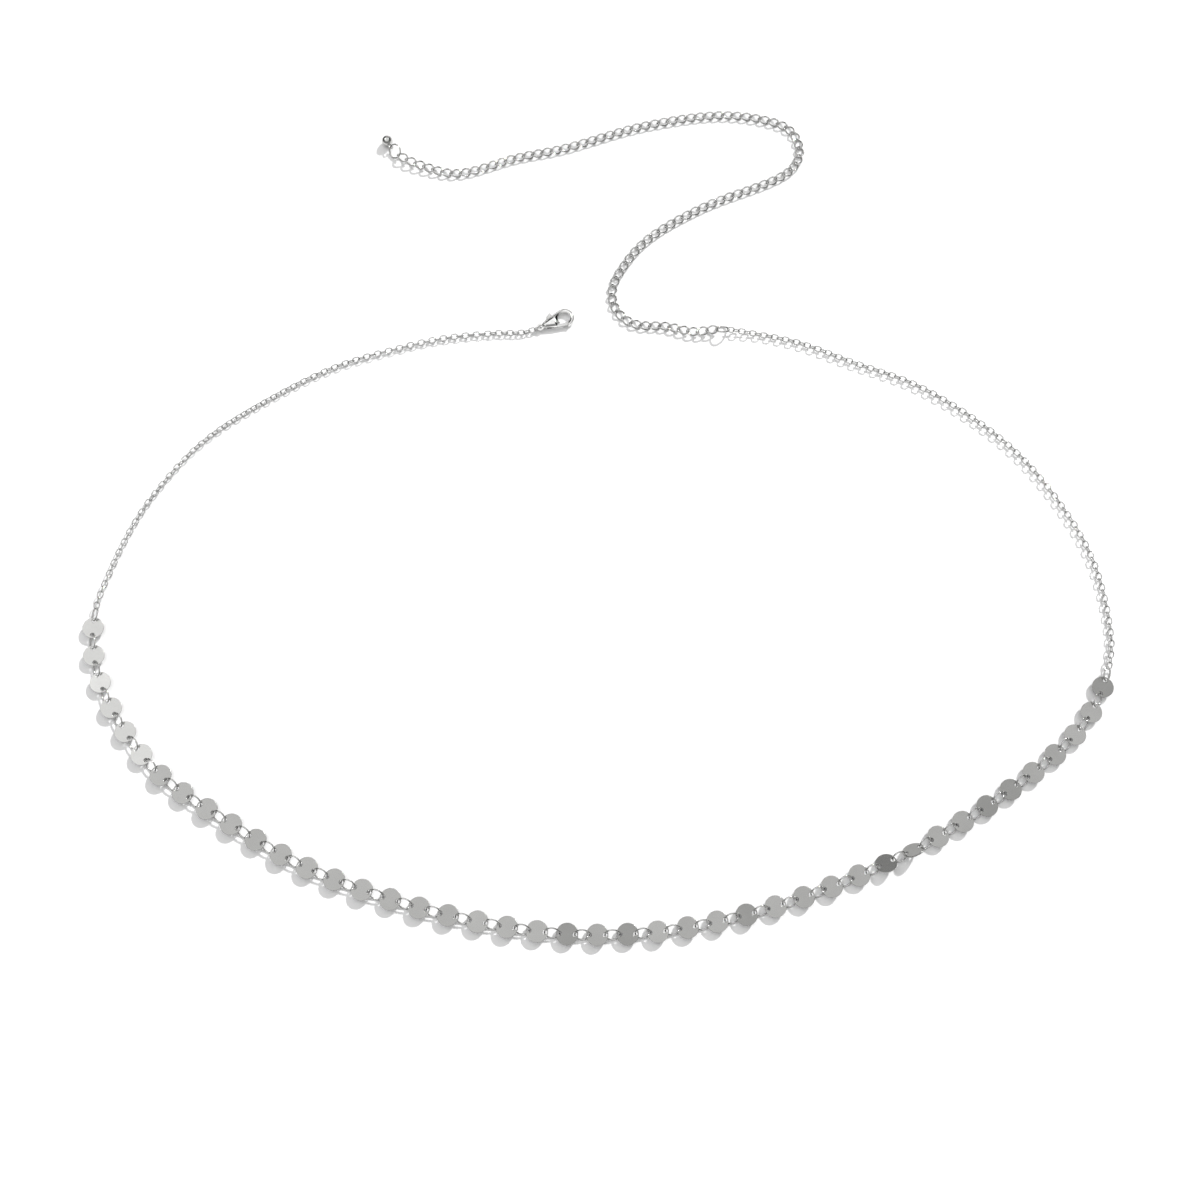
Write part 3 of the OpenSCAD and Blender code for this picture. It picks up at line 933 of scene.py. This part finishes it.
def whiteFloor():
    mesh = bpy.data.meshes.new("studioFloor")
    half = stageLook["floorHalf"]
    corners = [(-half, -half, 0), (half, -half, 0), (half, half, 0), (-half, half, 0)]
    mesh.from_pydata(corners, [], [(0, 1, 2, 3)])
    floor = placed("studioFloor", mesh)
    paper = bpy.data.materials.new("whitePaper")
    paper.use_nodes = True
    shader = paper.node_tree.nodes["Principled BSDF"]
    tone = stageLook["floorTone"]
    shader.inputs["Base Color"].default_value = (tone, tone, tone, 1.0)
    shader.inputs["Roughness"].default_value = stageLook["floorRoughness"]
    shader.inputs["Specular IOR Level"].default_value = stageLook["floorShine"]
    mesh.materials.append(paper)


def keyLight():
    data = bpy.data.lights.new("keyLight", "SUN")
    data.energy = stageLook["keyStrength"]
    data.angle = math.radians(stageLook["keyAngle"])
    lamp = placed("keyLight", data)
    lamp.rotation_mode = "QUATERNION"
    lamp.rotation_quaternion = Vector(stageLook["keyFrom"]).to_track_quat("Z", "Y")


def areaLight(name, place, target, size, power):
    data = bpy.data.lights.new(name, "AREA")
    data.shape = "RECTANGLE"
    data.size, data.size_y = size
    data.energy = power
    lamp = placed(name, data)
    lamp.location = place
    lamp.rotation_mode = "QUATERNION"
    lamp.rotation_quaternion = (Vector(place) - Vector(target)).to_track_quat("Z", "Y")


def softWorld():
    world = bpy.data.worlds.new("studioAir")
    bpy.context.scene.world = world
    world.use_nodes = True
    tree = world.node_tree
    place = tree.nodes.new("ShaderNodeTexCoord")
    x, y, z = addNode(tree, "ShaderNodeSeparateXYZ", n0=place.outputs["Generated"]).outputs
    smooth = {"interpolation_type": "SMOOTHSTEP"}
    rise = rangeNode(tree, z, stageLook["airHeights"], stageLook["airTones"], smooth)
    across = rangeNode(tree, x, stageLook["sideSpan"], stageLook["sideGains"])
    low = rangeNode(tree, z, stageLook["backGlowHeights"], (stageLook["backGlow"], 0.0))
    behind = rangeNode(tree, y, stageLook["backGlowDepths"], (0.0, 1.0))
    beside = rangeNode(tree, x, stageLook["backGlowSides"], (0.0, 1.0))
    front = rangeNode(tree, y, stageLook["frontGlowDepths"], (stageLook["frontGlow"], 0.0))
    above = mathNode(tree, "MULTIPLY", rise, across)
    above = mathNode(tree, "MAXIMUM", above, front)
    paper = mathNode(tree, "MULTIPLY", behind, beside)
    air = mathNode(tree, "MULTIPLY_ADD", low, paper, above)
    tree.links.new(air, tree.nodes["Background"].inputs["Strength"])
    tree.nodes["Background"].inputs["Color"].default_value = (1.0, 1.0, 1.0, 1.0)


whiteFloor()
keyLight()
areaLight(
    "softboxLeft", stageLook["softboxPlace"], (0.0, 0.0, 0.0),
    stageLook["softboxSize"], stageLook["softboxPower"])
softWorld()
bpy.context.scene.view_settings.view_transform = "Standard"
print("stage lit")
